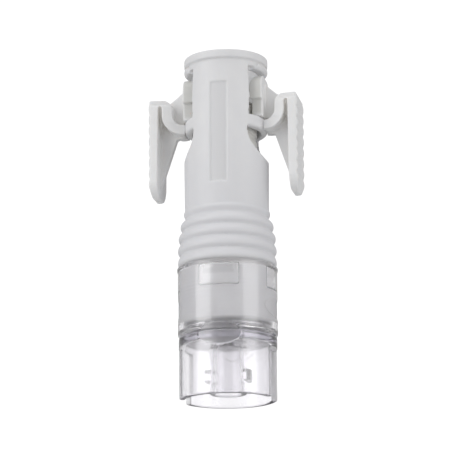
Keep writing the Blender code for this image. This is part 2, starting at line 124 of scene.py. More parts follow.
COLLAR_RADIUS = 8.2
COLLAR_BORE = 7.45
GUARD_RADIUS = guard_high.x
GUARD_WALL = 1.0
GUARD_TOP = 10.3
GUARD_PLATE = 1.0
SLOT_HALF_DEG = 18
SLOT_TOP = 8.3
FRONT_OVAL = (3.7, 1.95, 9.85)  # half width, half height and height of the dish across collar and guard
SIDE_OVAL = (4.35, 1.8, 14.9)
LUER_RADIUS = 3.05

CLAW_FACE = 6.74
PAD_OUTER = 12.45
PAD_INNER = 11.1
PAD_TOP = 50.87
PAD_BOTTOM = lever_low.z - 0.4
PAD_HALF = 3.55


# ---------------------------------------------------------------- outlines

def rounded(corners, steps=5):
    """Closed outline through (u, v, radius) corners, each rounded by an arc of its own radius."""
    points = []
    count = len(corners)
    for i, (u, v, radius) in enumerate(corners):
        here = Vector((u, v))
        if radius <= 0:
            points.append((u, v))
            continue
        to_last = (Vector(corners[i - 1][:2]) - here).normalized()
        to_next = (Vector(corners[(i + 1) % count][:2]) - here).normalized()
        half = 0.5 * to_last.angle(to_next)
        centre = here + (to_last + to_next).normalized() * (radius / math.sin(half))
        start = here + to_last * (radius / math.tan(half)) - centre
        end = here + to_next * (radius / math.tan(half)) - centre
        sweep = start.angle_signed(end)
        for k in range(steps + 1):
            turn = -sweep * k / steps
            spoke = Vector((start.x * math.cos(turn) - start.y * math.sin(turn),
                            start.x * math.sin(turn) + start.y * math.cos(turn)))
            points.append(tuple(centre + spoke))
    return points


def arc(centre, radius, start_deg, end_deg, steps):
    """Points along an arc in an outline's own plane."""
    angles = [math.radians(start_deg + (end_deg - start_deg) * k / steps) for k in range(steps + 1)]
    return [(centre[0] + radius * math.cos(a), centre[1] + radius * math.sin(a)) for a in angles]


def ellipse(centre, half_width, half_height, steps):
    """Closed outline of an ellipse, or of a circle if both halves are the same."""
    turns = [FULL_TURN * k / steps for k in range(steps)]
    return [(centre[0] + half_width * math.cos(a), centre[1] + half_height * math.sin(a)) for a in turns]


def sector(inner, outer, middle_deg, half_deg, steps=24):
    """Annular sector in plan, its middle at an angle counted from +X towards +Y."""
    low, high = middle_deg - half_deg, middle_deg + half_deg
    return arc((0, 0), outer, low, high, steps) + arc((0, 0), inner, high, low, steps)


# ---------------------------------------------------------------- solids

def baked(obj):
    """Turns an object with modifiers, or a curve, into a plain mesh object that isn't in any collection."""
    scratch = bpy.context.scene.collection
    scratch.objects.link(obj)
    bpy.context.view_layer.update()
    evaluated = obj.evaluated_get(bpy.context.evaluated_depsgraph_get())
    mesh = bpy.data.meshes.new_from_object(evaluated)
    mesh.transform(obj.matrix_world)
    work = bmesh.new()
    work.from_mesh(mesh)
    bmesh.ops.remove_doubles(work, verts=work.verts, dist=0.0005)
    bmesh.ops.recalc_face_normals(work, faces=work.faces)
    work.to_mesh(mesh)
    work.free()
    name = obj.name
    bpy.data.objects.remove(obj, do_unlink=True)
    return bpy.data.objects.new(name, mesh)


def lathe(name, profile, segments=ROUND):
    """Turns a closed (radius, height) profile about the tube's axis."""
    mesh = bpy.data.meshes.new(name)
    count = len(profile)
    touches_axis = profile[0][0] == 0 and profile[-1][0] == 0
    last = count - 1 if touches_axis else count
    edges = [(i, (i + 1) % count) for i in range(last)]
    mesh.from_pydata([(r, 0.0, z) for r, z in profile], edges, [])
    obj = bpy.data.objects.new(name, mesh)
    screw = obj.modifiers.new("turn", "SCREW")
    screw.steps = segments
    screw.render_steps = segments
    screw.use_merge_vertices = True
    screw.merge_threshold = 0.0001
    return baked(obj)


def slab(name, outline, low, high, plane="XY"):
    """Extrudes a flat outline: in plan between two heights, or in side view (XZ or YZ) between two depths."""
    curve = bpy.data.curves.new(name, "CURVE")
    curve.dimensions = "2D"
    curve.fill_mode = "BOTH"
    curve.extrude = 0.5 * (high - low)
    spline = curve.splines.new("POLY")
    spline.points.add(len(outline) - 1)
    for point, (u, v) in zip(spline.points, outline):
        point.co = (u, v, 0.0, 1.0)
    spline.use_cyclic_u = True
    obj = bpy.data.objects.new(name, curve)
    middle = 0.5 * (low + high)
    upright = Matrix.Rotation(math.pi / 2, 4, "X")
    turns = {
        "XY": Matrix.Translation((0, 0, middle)),
        "XZ": Matrix.Translation((0, middle, 0)) @ upright,
        "YZ": Matrix.Translation((middle, 0, 0)) @ Matrix.Rotation(math.pi / 2, 4, "Z") @ upright,
    }
    obj.matrix_world = turns[plane]
    return baked(obj)


def combine(obj, others, operation):
    """Boolean of obj with other solids, one after another. The others are used up."""
    scratch = bpy.context.scene.collection
    for other in others:
        scratch.objects.link(other)
        step = obj.modifiers.new(operation.lower(), "BOOLEAN")
        step.operation = operation
        step.solver = "EXACT"
        step.object = other
        obj = baked(obj)
        bpy.data.objects.remove(other, do_unlink=True)
    return obj


def add(obj, *others):
    return combine(obj, others, "UNION")


def cut(obj, *others):
    return combine(obj, others, "DIFFERENCE")


def keep(obj, *others):
    return combine(obj, others, "INTERSECT")


def joined(first, *others):
    """Puts overlapping solids in one object as they are. The voxels of softened() make them one body."""
    work = bmesh.new()
    for solid in (first, *others):
        work.from_mesh(solid.data)
    work.to_mesh(first.data)
    work.free()
    for solid in others:
        bpy.data.objects.remove(solid, do_unlink=True)
    return first


def softened(obj, voxel, passes, share=1.0):
    """Gives a solid the small fillets of a moulding: an even fine mesh, eased, then thinned to share."""
    remesh = obj.modifiers.new("voxels", "REMESH")
    remesh.mode = "VOXEL"
    remesh.voxel_size = voxel
    ease = obj.modifiers.new("ease", "SMOOTH")
    ease.factor = 0.5
    ease.iterations = passes
    if share < 1.0:
        thin = obj.modifiers.new("thin", "DECIMATE")
        thin.ratio = share
    return baked(obj)


def mirrored(obj, name):
    """Copy of a mesh object on the other side of the YZ plane."""
    mesh = obj.data.copy()
    work = bmesh.new()
    work.from_mesh(mesh)
    bmesh.ops.scale(work, vec=(-1, 1, 1), verts=work.verts)
    bmesh.ops.reverse_faces(work, faces=work.faces)
    work.to_mesh(mesh)
    work.free()
    return bpy.data.objects.new(name, mesh)


def show(obj, node, material, smooth_angle=50):
    """Puts a finished solid in the scene, in metres, to ride on its node's body and stand for that node."""
    obj.data.transform(Matrix.Scale(MM, 4))
    obj.data.materials.clear()
    obj.data.materials.append(material)
    obj.data.shade_smooth()
    obj.data.set_sharp_from_angle(angle=math.radians(smooth_angle))
    bpy.context.scene.collection.objects.link(obj)
    body = next(b for b, nodes in frame["record"]["behaviour"]["bodies"].items() if node in nodes)
    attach(obj, body)
    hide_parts(node)
    return obj


# ---------------------------------------------------------------- materials

def new_node(tree, kind, inputs=None, **settings):
    """A shader node. An input that is a socket is linked, and any other becomes the input's own value."""
    made = tree.nodes.new(kind)
    for name, value in settings.items():
        setattr(made, name, value)
    for name, value in (inputs or {}).items():
        if isinstance(value, bpy.types.NodeSocket):
            tree.links.new(value, made.inputs[name])
        else:
            made.inputs[name].default_value = value
    return made


def started(name):
    """A new material with its tree, its Principled shader and coordinates in millimetres."""
    material = bpy.data.materials.new(name)
    material.use_nodes = True
    tree = material.node_tree
    shader = tree.nodes["Principled BSDF"]
    place = new_node(tree, "ShaderNodeTexCoord")
    scaled = new_node(tree, "ShaderNodeVectorMath", {0: place.outputs["Object"], "Scale": 1 / MM},
                      operation="SCALE")
    return material, tree, shader, scaled.outputs[0]


def maths(tree, operation, *values):
    """Result of one Math node on one or two values."""
    return new_node(tree, "ShaderNodeMath", dict(enumerate(values)), operation=operation).outputs[0]


def axes(tree, place):
    """The X, Y and Z of a place."""
    return new_node(tree, "ShaderNodeSeparateXYZ", {0: place}).outputs


def noise(tree, place, per_mm, detail=2.0, stretch=(1, 1, 1)):
    """Value noise with per_mm cells a millimetre, stretched along an axis where its number is below 1."""
    mapped = new_node(tree, "ShaderNodeMapping", {"Vector": place, "Scale": stretch})
    made = new_node(tree, "ShaderNodeTexNoise",
                    {"Vector": mapped.outputs[0], "Scale": per_mm, "Detail": detail, "Roughness": 0.55})
    return made.outputs["Fac"]


def ranged(tree, value, from_low, from_high, to_low, to_high):
    """Moves a value from one range to another, and keeps it inside the second."""
    made = new_node(tree, "ShaderNodeMapRange", {"Value": value, "From Min": from_low, "From Max": from_high,
                                                 "To Min": to_low, "To Max": to_high})
    return made.outputs[0]


def mixed(tree, factor, first, second):
    """Mix of two colours, each a socket or four numbers."""
    made = new_node(tree, "ShaderNodeMix", data_type="RGBA")
    for socket, value in ((made.inputs[0], factor), (made.inputs[6], first), (made.inputs[7], second)):
        if isinstance(value, bpy.types.NodeSocket):
            tree.links.new(value, socket)
        else:
            socket.default_value = value
    return made.outputs[2]


def toned(colour, red, green, blue):
    """A colour with each of its parts multiplied by its own share, as four numbers."""
    return (red * colour[0], green * colour[1], blue * colour[2], 1)


def bump(tree, height, distance, strength, below=None):
    """Normal of a relief of distance millimetres, on top of the relief below if there is one."""
    inputs = {"Height": height, "Distance": distance * MM, "Strength": strength}
    if below is not None:
        inputs["Normal"] = below
    return new_node(tree, "ShaderNodeBump", inputs).outputs[0]


def link(tree, shader, **sockets):
    """Links sockets to the shader's inputs, where an underscore stands for a space."""
    for name, socket in sockets.items():
        tree.links.new(socket, shader.inputs[name.replace("_", " ")])


def panel_mask(tree, place, half_width, low, high):
    """1 on the front between two heights and within half_width of the middle, with soft sides."""
    parts = axes(tree, place)
    across = maths(tree, "ABSOLUTE", parts["X"])
    inside, outside = 0.1, 0.05
    product = ranged(tree, across, half_width - inside, half_width + outside, 1.0, 0.0)
    for mask in (
        ranged(tree, parts["Z"], low - outside, low + inside, 0.0, 1.0),
        ranged(tree, parts["Z"], high - inside, high + outside, 1.0, 0.0),
        ranged(tree, parts["Y"], -5.0, -6.0, 0.0, 1.0),
    ):
        product = maths(tree, "MULTIPLY", product, mask)
    return product


def lower_body_shade_mask(tree, place):
    """Painted shade that darkens the lower body: it grows from 0 above the windows' foot to 0.65 round the grip
    ribs, and ends where the collar begins.
    """
    height = axes(tree, place)["Z"]
    below = ranged(tree, height, RIBS_TOP - 0.1, WINDOW_BOTTOM + 6.0, 0.65, 0.0)
    above = ranged(tree, height, collar_high.z, collar_high.z + 1.0, 0.0, 1.0)
    return maths(tree, "MULTIPLY", below, above)


def claw_shade_mask(tree, place):
    """Painted shade on the claws: 1 on their sides and inner faces, 0 on their flat outer faces and the rest of
    the lever.
    """
    parts = axes(tree, place)
    across = maths(tree, "ABSOLUTE", parts["X"])
    inward = ranged(tree, across, CLAW_FACE - 0.34, CLAW_FACE - 0.09, 1.0, 0.0)
    above = ranged(tree, parts["Z"], hinge.z + 1.2, hinge.z + 1.8, 0.0, 1.0)
    return maths(tree, "MULTIPLY", inward, above)


def ring_relief(tree, place, low, high, per_mm):
    """Height of fine turned rings, which fade in and out between two heights."""
    height = axes(tree, place)["Z"]
    wave = maths(tree, "SINE", maths(tree, "MULTIPLY", height, FULL_TURN * per_mm))
    fade_in = ranged(tree, height, low, low + 0.8, 0.0, 1.0)
    fade_out = ranged(tree, height, high - 0.8, high, 1.0, 0.0)
    return maths(tree, "MULTIPLY", wave, maths(tree, "MULTIPLY", fade_in, fade_out))


def moulded_white(name, pale, shaded, rough=(0.36, 0.50), rings=None, panel=None, claws=False):
    """Satin white polypropylene: faint mottling, flow streaks, spark-eroded grain and painted warm shade in
    corners.

    rings is (low, high, per_mm) for the fine turning marks on the skirt under the collar. panel is (half
    width, low, high) of the front recess, whose floor is a shade darker; with it the lower body round the
    grip gets painted shade. claws is for the levers: it paints shade on the sides of their claws.
    """
    material, tree, shader, place = started(name)
    mottle = ranged(tree, noise(tree, place, 0.35, 3.0), 0.35, 0.65, 0.0, 1.0)
    colour = mixed(tree, mottle, (*pale, 1), (*shaded, 1))
    # Painted shade: the colour turns darker and warmer where ambient occlusion finds corners and creases.
    crevice = new_node(tree, "ShaderNodeAmbientOcclusion", {"Distance": 1.6 * MM}, samples=8,
                       only_local=True)
    painted_crevice_shade = ranged(tree, crevice.outputs["AO"], 0.25, 0.85, 0.55, 0.0)
    colour = mixed(tree, painted_crevice_shade, colour, toned(pale, 0.97, 0.93, 0.86))
    if panel:
        # Painted shade: the lower body turns darker towards the grip ribs.
        colour = mixed(tree, lower_body_shade_mask(tree, place), colour, toned(shaded, 0.93, 0.93, 0.95))
        colour = mixed(tree, panel_mask(tree, place, *panel), colour, toned(shaded, 0.93, 0.93, 0.93))
    # Painted shade on the sides and inner faces of the claws.
    if claws:
        colour = mixed(tree, claw_shade_mask(tree, place), colour, toned(shaded, 0.86, 0.86, 0.83))
    streaks = noise(tree, place, 2.2, 3.0, (1, 1, 0.12))
    grain = noise(tree, place, 7.0, 2.0)
    normal = bump(tree, grain, 0.006, 0.30)
    waves = noise(tree, place, 0.5, 1.0)
    normal = bump(tree, waves, 0.05, 0.25, normal)
    if rings:
        normal = bump(tree, ring_relief(tree, place, *rings), 0.02, 0.2, normal)
    link(tree, shader, Base_Color=colour, Normal=normal,
         Roughness=ranged(tree, streaks, 0.3, 0.7, *rough))
    shader.inputs["Subsurface Weight"].default_value = 0.18
    shader.inputs["Subsurface Radius"].default_value = (1.0, 0.92, 0.85)
    shader.inputs["Subsurface Scale"].default_value = 0.7 * MM
    shader.inputs["Specular IOR Level"].default_value = 0.45
    return material


def oval_mask(tree, place, axis, half_width, half_height, height):
    """1 inside an ellipse across axis (0 is X, 1 is Y) and Z, falling to 0 over its rim.

    An ellipse across X is in front only, and one across Y is on both sides.
    """
    parts = axes(tree, place)
    across = maths(tree, "DIVIDE", parts[axis], half_width)
    along = maths(tree, "DIVIDE", maths(tree, "SUBTRACT", parts["Z"], height), half_height)
    spot = new_node(tree, "ShaderNodeCombineXYZ", {0: across, 1: along})
    reach = new_node(tree, "ShaderNodeVectorMath", {0: spot.outputs[0]}, operation="LENGTH")
    inside = ranged(tree, reach.outputs["Value"], 0.9, 1.0, 1.0, 0.0)
    if axis == 0:
        facing = ranged(tree, parts["Y"], -3.5, -4.5, 0.0, 1.0)
    else:
        facing = ranged(tree, maths(tree, "ABSOLUTE", parts["X"]), 3.5, 4.5, 0.0, 1.0)
    return maths(tree, "MULTIPLY", inside, facing)


def slot_mask(tree, place):
    """1 on the faces that bound the guard's side slots, 0 on the shells and above the slots."""
    parts = axes(tree, place)
    angle = maths(tree, "ARCTAN2", maths(tree, "ABSOLUTE", parts["Y"]), maths(tree, "ABSOLUTE", parts["X"]))
    edge = math.radians(SLOT_HALF_DEG)
    beside = ranged(tree, angle, edge + 0.008, edge + 0.022, 1.0, 0.0)
    below = ranged(tree, parts["Z"], SLOT_TOP, SLOT_TOP + 0.1, 1.0, 0.0)
    return maths(tree, "MULTIPLY", beside, below)


def moulded_clear(name, tint, absorbs, density, ior=1.38, rim=None, dishes=(), slots=False):
    """Clear polycarbonate: flow waves, a violet cast that deepens with thickness, painted dark edges, frosted
    dishes.

    density is the depth of the cast. rim is the height at which the painted dark end face fades out. dishes are
    (axis, half width, half height, height). With slots, the cut faces beside the two side slots are milky.
    """
    material, tree, shader, place = started(name)
    flow = noise(tree, place, 0.55, 2.0, (1, 1, 0.35))
    fine = noise(tree, place, 6.0, 2.0)
    normal = bump(tree, flow, 0.05, 0.15)
    normal = bump(tree, fine, 0.003, 0.2, normal)
    haze = noise(tree, place, 1.3, 3.0)
    cloud = ranged(tree, haze, 0.3, 0.7, 0.0, 1.0)
    colour = mixed(tree, cloud, (*tint, 1), toned(tint, 0.985, 0.98, 0.99))
    # Painted shade: dark lines on sharp edges and on the end face, standing in for light that the clear edges
    # refract away.
    edge = new_node(tree, "ShaderNodeNewGeometry").outputs["Pointiness"]
    painted_edge_shade = ranged(tree, edge, 0.53, 0.60, 0.0, 0.6)
    if rim is not None:
        end_face_shade = ranged(tree, axes(tree, place)["Z"], rim, rim + 0.25, 0.75, 0.0)
        painted_edge_shade = maths(tree, "MAXIMUM", painted_edge_shade, end_face_shade)
    colour = mixed(tree, painted_edge_shade, colour, (0.52, 0.50, 0.55, 1))
    rough = ranged(tree, haze, 0.3, 0.7, 0.07, 0.13)
    for dish in dishes:
        frost = oval_mask(tree, place, *dish)
        colour = mixed(tree, frost, colour, (0.96, 0.955, 0.965, 1))
        rough = maths(tree, "MAXIMUM", rough, ranged(tree, frost, 0, 1, 0.0, 0.35))
    shader.inputs["Transmission Weight"].default_value = 1.0
    if slots:
        milky = slot_mask(tree, place)
        colour = mixed(tree, milky, colour, (0.93, 0.925, 0.94, 1))
        link(tree, shader, Transmission_Weight=ranged(tree, milky, 0, 1, 1.0, 0.25))
    link(tree, shader, Base_Color=colour, Normal=normal, Roughness=rough)
    shader.inputs["IOR"].default_value = ior
    shader.inputs["Coat Weight"].default_value = 1.0
    shader.inputs["Coat Roughness"].default_value = 0.25
    shader.inputs["Coat IOR"].default_value = 1.7
    depth = new_node(tree, "ShaderNodeVolumeAbsorption", {"Color": (*absorbs, 1), "Density": density})
    tree.links.new(depth.outputs[0], tree.nodes["Material Output"].inputs["Volume"])
    return material


def elastomer(name, colour):
    """Matt grey rubber with a bloom on its surface and fine pits."""
    material, tree, shader, place = started(name)
    bloom = ranged(tree, noise(tree, place, 0.9, 4.0), 0.35, 0.7, 0.0, 1.0)
    pits = noise(tree, place, 10.0, 2.0)
    link(tree, shader, Base_Color=mixed(tree, bloom, (*colour, 1), toned(colour, 1.15, 1.15, 1.15)),
         Normal=bump(tree, pits, 0.012, 0.5), Roughness=ranged(tree, bloom, 0, 1, 0.55, 0.75))
    shader.inputs["Subsurface Weight"].default_value = 0.08
    shader.inputs["Subsurface Scale"].default_value = 0.5 * MM
    return material


def drawn_steel(name, colour):
    """Bright drawn stainless steel: long die lines and a slight change of sheen."""
    material, tree, shader, place = started(name)
    lines = noise(tree, place, 22.0, 3.0, (1, 1, 0.03))
    patches = noise(tree, place, 0.8, 2.0)
    link(tree, shader, Base_Color=mixed(tree, patches, (*colour, 1), toned(colour, 0.85, 0.85, 0.85)),
         Normal=bump(tree, lines, 0.004, 0.35), Roughness=ranged(tree, lines, 0.3, 0.7, 0.16, 0.34))
    shader.inputs["Metallic"].default_value = 1.0
    return material


WHITE_HOUSING = moulded_white("white_housing", (0.79, 0.79, 0.80), (0.77, 0.77, 0.785), rings=SKIRT_RINGS,
                              panel=PANEL)
WHITE_LEVER = moulded_white("white_lever", (0.85, 0.85, 0.852), (0.83, 0.83, 0.835), claws=True)
# The inserts' white is painted darker and warmer than the housing's, as shade for their place inside the tube.
INSERT_WHITE_IN_SHADE = moulded_white("white_insert", (0.74, 0.73, 0.70), (0.70, 0.69, 0.66), (0.30, 0.42))
CLEAR_COLLAR = moulded_clear("clear_collar_plastic", (0.99, 0.988, 0.99), (0.90, 0.89, 0.92),
                             density=200, dishes=((0, *FRONT_OVAL), (1, *SIDE_OVAL)))
CLEAR_GUARD = moulded_clear("clear_guard_plastic", (0.94, 0.936, 0.948), (0.90, 0.89, 0.93),
                            density=200, rim=guard_low.z, dishes=((0, *FRONT_OVAL),), slots=True)
CLEAR_LUER = moulded_clear("clear_luer_plastic", (1.0, 0.998, 1.0), (0.90, 0.89, 0.93),
                           density=70, ior=1.3, rim=luer_low.z + 0.15)
RUBBER = elastomer("grey_elastomer", (0.50, 0.51, 0.53))
NEEDLE_STEEL = drawn_steel("needle_steel", (0.72, 0.72, 0.74))
SPRING_STEEL = drawn_steel("spring_steel", (0.64, 0.64, 0.66))


# ---------------------------------------------------------------- housing

def wall_radius(z):
    """Outer radius of the housing's plain wall: it drafts in towards the mouth above the windows' foot."""
    share = max(0.0, (z - WINDOW_BOTTOM) / (FLANGE_UNDER - WINDOW_BOTTOM))
    return BODY_RADIUS + (MOUTH_WALL - BODY_RADIUS) * min(1.0, share)


def rib_points(top, root, crest):
    """One grip rib: it swells downwards to a rounded crest and turns in sharply to the next groove."""
    height, tuck_depth, steps = 1.9, 0.55, 12
    swell_end, tuck_start = 0.55, 0.66
    points = []
    for k in range(steps + 1):
        share = k / steps
        swell = math.sin(0.5 * math.pi * min(1.0, share / swell_end))
        tuck = max(0.0, (share - tuck_start) / (1 - tuck_start))
        points.append((root + (crest - root) * swell - tuck_depth * tuck * tuck, top - height * share))
    return points


def housing_profile():
    """Half section of the tube: flange, wall, the band and ribs of the grip, then the skirt and the bore."""
    band, groove = BODY_RADIUS + 0.2, BODY_RADIUS - 0.14
    # the last two corners only close this part of the outline, and the ribs take their place
    outer = rounded([
        (BORE_RADIUS + 0.3, LENGTH, 0.15),
        (FLANGE_RADIUS - 0.1, LENGTH, 0.05),
        (FLANGE_RADIUS, LENGTH - 0.1, 0.05),
        (FLANGE_RADIUS, FLANGE_UNDER, 0.2),
        (wall_radius(FLANGE_UNDER), FLANGE_UNDER, 0.05),
        (BODY_RADIUS + 0.1, WINDOW_BOTTOM, 0),
        (BODY_RADIUS + 0.02, RIBS_TOP + 1.45, 0.08),
        (band, RIBS_TOP + 1.3, 0.1),
        (band, RIBS_TOP + 0.95, 0.12),
        (groove, RIBS_TOP + 0.25, 0.1),
        (groove, RIBS_TOP, 0),
        (BORE_RADIUS, RIBS_TOP, 0),
    ], 4)[:-2]
    ribs = []
    for index, (root, crest) in enumerate(((6.95, 7.72), (7.42, 8.05), (7.7, 8.18), (7.78, 8.18))):
        ribs += rib_points(RIBS_TOP - index * RIB_PITCH, root, crest)
    floor = SKIRT_BOTTOM + 1.0
    hub_hole = 2.2
    inner = [
        (SKIRT_RADIUS, ribs[-1][1] - 0.1),
        (SKIRT_RADIUS, collar_high.z - 0.55),
        (SKIRT_SHOWN, collar_high.z - 0.65),
        (SKIRT_SHOWN, SKIRT_BOTTOM + 0.3),
        (SKIRT_SHOWN - 0.3, SKIRT_BOTTOM),
        (hub_hole, SKIRT_BOTTOM),
        (hub_hole, floor),
        (BORE_RADIUS, floor),
        (BORE_RADIUS, LENGTH - 0.45),
    ]
    return outer + ribs + inner


def side_window():
    """Opening for a lever: straight sides above the torsion bar, then wider, with an elliptical foot."""
    foot_half, foot_middle, steps = 5.1, 44.0, 32
    straight_end, flare_end = 48.5, 46.0
    side = [(WINDOW_HALF, WINDOW_TOP), (WINDOW_HALF + 0.15, straight_end), (foot_half, flare_end)]
    foot_depth = foot_middle - WINDOW_BOTTOM
    turns = [math.pi * k / steps for k in range(steps + 1)]
    foot = [(foot_half * math.cos(a), foot_middle - foot_depth * math.sin(a)) for a in turns]
    outline = side + foot + [(-y, z) for y, z in reversed(side)]
    return slab("window_cutter", outline, -THROUGH, THROUGH, "YZ")


def between_walls(name, corners, margin):
    """The part of a turned ring that lies in the side windows."""
    reach = WINDOW_HALF + margin
    block = [(-THROUGH, -reach), (THROUGH, -reach), (THROUGH, reach), (-THROUGH, reach)]
    return keep(lathe(name, rounded(corners)), slab(name + "_span", block, 0, LENGTH + 2))


def lintel_beads():
    """Short beads that close the tops of the side windows, under the flange."""
    high, low = FLANGE_UNDER - 0.35, WINDOW_TOP - 0.4
    inner = BORE_RADIUS + 0.4
    return between_walls("lintel_beads", [
        (inner, high, 0), (FLANGE_RADIUS, high, 0.25), (FLANGE_RADIUS, low + 0.45, 0.3),
        (FLANGE_RADIUS - 0.4, low, 0.15), (inner, low, 0),
    ], -1.2)


def mouth_liner():
    """Thin inner wall behind the lintel beads."""
    outer, top, foot = BORE_RADIUS + 0.45, FLANGE_UNDER, WINDOW_TOP - 0.5
    return between_walls("mouth_liner", [(BORE_RADIUS, top, 0), (outer, top, 0), (outer, foot, 0.1),
                                         (BORE_RADIUS, foot, 0.1)], 0.5)


def torsion_bars():
    """The bar across each side window, on which a lever turns."""
    low, high = hinge.z - BAR_HALF_HEIGHT, hinge.z + BAR_HALF_HEIGHT
    return between_walls("torsion_bars", [
        (BAR_INNER, high, 0.1), (BAR_OUTER, high, 0.45), (BAR_OUTER, low, 0.5), (BAR_INNER, low, 0.1),
    ], 0.85)


def front_panel():
    """Blank recess in the front wall, the same depth all over although the wall is round and drafted."""
    depth = 0.16
    half_width, low, high = PANEL
    block = rounded([(-half_width, low, 0.25), (half_width, low, 0.25),
                     (half_width, high, 0.25), (-half_width, high, 0.25)], 4)
    core = [(0, high + 2), (wall_radius(high + 2) - depth, high + 2),
            (BODY_RADIUS - depth, WINDOW_BOTTOM), (BODY_RADIUS - depth, low - 2), (0, low - 2)]
    return cut(slab("panel_cutter", block, -THROUGH, -3, "XZ"), lathe("panel_core", core))


def snap_tabs():
    """Four tabs that hold the collar, each with a ramp at its foot, where the collar is pushed on."""
    root, tip = SKIRT_RADIUS - 0.3, COLLAR_BORE + 0.35
    foot, step, top = 19.75, 20.6, 21.35
    profile = [(root, top), (tip, top), (tip, step), (SKIRT_SHOWN, foot), (root, foot)]
    tabs = []
    for index in range(4):
        ring = lathe(f"snap_ring_{index}", profile)
        outline = sector(root - 0.2, tip + 0.2, 90 * index, SNAP_HALF_DEG)
        tabs.append(keep(ring, slab(f"snap_tab_{index}", outline, foot - 1, top + 1)))
    return tabs


def make_housing():
    """The white tube with its windows, torsion bars, snap tabs and blank panel."""
    body = lathe("housing_moulding", housing_profile())
    body = cut(body, side_window())
    body = add(body, lintel_beads(), mouth_liner(), torsion_bars(), *snap_tabs())
    body = cut(body, front_panel())
    show(softened(body, voxel=0.14, passes=4, share=0.39), "housing", WHITE_HOUSING)


# ---------------------------------------------------------------- levers

def lever_half_width(x):
    """Half the lever's width in Y: narrow at its root, full at the pad."""
    root_x, root_half, strap_x, strap_half = 7.0, 1.66, 8.8, 2.8
    if x <= strap_x:
        share = max(0.0, (x - root_x) / (strap_x - root_x))
        return root_half + (strap_half - root_half) * share * (2 - share)
    share = min(1.0, (x - strap_x) / (PAD_INNER - strap_x))
    return strap_half + (PAD_HALF - strap_half) * share


def ridged_face():
    """The pad's outer face from the top down: shallow scallops that meet in sharp valleys."""
    points = []
    count, pitch, height, per_ridge = 8, 1.87, 0.23, 12
    first_top, step_in, bluntness = PAD_TOP - 0.5, 0.01, 0.8
    for index in range(count):
        top = first_top - index * pitch
        for k in range(per_ridge):
            bulge = math.sin(math.pi * k / per_ridge) ** bluntness
            points.append((PAD_OUTER - step_in * index + height * bulge, top - pitch * k / per_ridge))
    return points


def strap_and_pad():
    """The strap that rises from the root, turns over and comes down as the ridged pad."""
    bend, bend_radius, thickness = (7.15, 48.3), 1.55, 1.7
    inner_x = bend[0] + bend_radius
    outer_x = inner_x + thickness
    outline = [(BAR_INNER, bend[1] - bend_radius)]
    outline += arc(bend, bend_radius, -80, 0, 20)
    shoulder, corner, foot_end = 1.5, 0.35, 0.6
    outline += arc((inner_x + shoulder, PAD_TOP - shoulder), shoulder, 180, 90, 16)
    outline += arc((PAD_OUTER - 0.28, PAD_TOP - corner), corner, 85, 10, 12)
    outline += ridged_face()
    outline += arc((PAD_OUTER - 0.7, PAD_BOTTOM + foot_end), foot_end, 0, -170, 16)
    outline += [(PAD_INNER, PAD_BOTTOM + 2.4), (outer_x + 0.6, PAD_TOP - 1.6)]
    outline += arc((outer_x + 0.3, PAD_TOP - 1.3), 0.3, 0, 180, 8)
    outline += arc(bend, bend_radius + thickness, 0, -90, 28)
    outline += [(BAR_INNER, bend[1] - bend_radius - thickness)]
    solid = slab("strap_and_pad", outline, -1, 1, "XZ")
    for vertex in solid.data.vertices:
        vertex.co.y *= lever_half_width(vertex.co.x)
    solid = cut(solid, bar_clearance())
    side, low, high = PAD_HALF + 0.02, PAD_BOTTOM - 0.02, PAD_TOP + 0.1
    tongue = rounded([(-side, low, 3.0), (side, low, 3.0), (side, high, 0.15), (-side, high, 0.15)], 24)
    edge = [(PAD_OUTER - 0.2, side), (PAD_OUTER + 0.15, 3.3), (PAD_OUTER + 0.3, 2.9)]
    plan = [(0, -side), *((x, -y) for x, y in edge), *reversed(edge), (0, side)]
    return keep(solid, slab("pad_tongue", tongue, 0, 20, "YZ"), slab("pad_plan", plan, 0, LENGTH))


def bar_clearance():
    """What the torsion bar takes from the root: they touch at rest, with room where the root swings in."""
    near, far = BAR_OUTER - 0.02, BAR_OUTER + 0.08
    top, foot = hinge.z + 2.0, hinge.z - 1.6
    return lathe("bar_clearance", [(0, top), (near, top), (near, hinge.z), (far, foot), (0, foot)])


def crease_floor():
    """Floor of the slot between strap and pad. It rises to the top, so that the slot reads as a crease."""
    top, bend, foot = PAD_TOP - 0.6, PAD_TOP - 2.3, PAD_TOP - 5.4
    in_strap, in_pad = 10.0, PAD_INNER + 0.5
    top_half, foot_half = 3.15, 0.55
    outline = [(PAD_INNER + 0.2, foot), (in_pad, foot), (in_pad, top), (in_strap, top), (in_strap, bend)]
    floor = slab("crease_floor", outline, -1, 1, "XZ")
    for vertex in floor.data.vertices:
        vertex.co.y *= foot_half + (top_half - foot_half) * (vertex.co.z - foot) / (top - foot)
    return floor


def lever_web():
    """Thin plate in the lever's middle plane: it ties the claw, the strap and the pad together."""
    outline = rounded([
        (6.1, 47.6, 0), (6.1, 53.5, 0), (6.7, 53.6, 0), (7.2, 52.95, 0.6), (8.4, 51.9, 1.5), (9.6, 51.0, 0),
        (11.7, 49.0, 0), (11.7, 36.6, 0), (PAD_INNER, 36.4, 0), (8.35, 44.6, 0.3), (7.2, 44.9, 0.2),
        (7.2, 47.3, 0),
    ], 8)
    half_thickness = 0.6
    return slab("lever_web", outline, -half_thickness, half_thickness, "XZ")


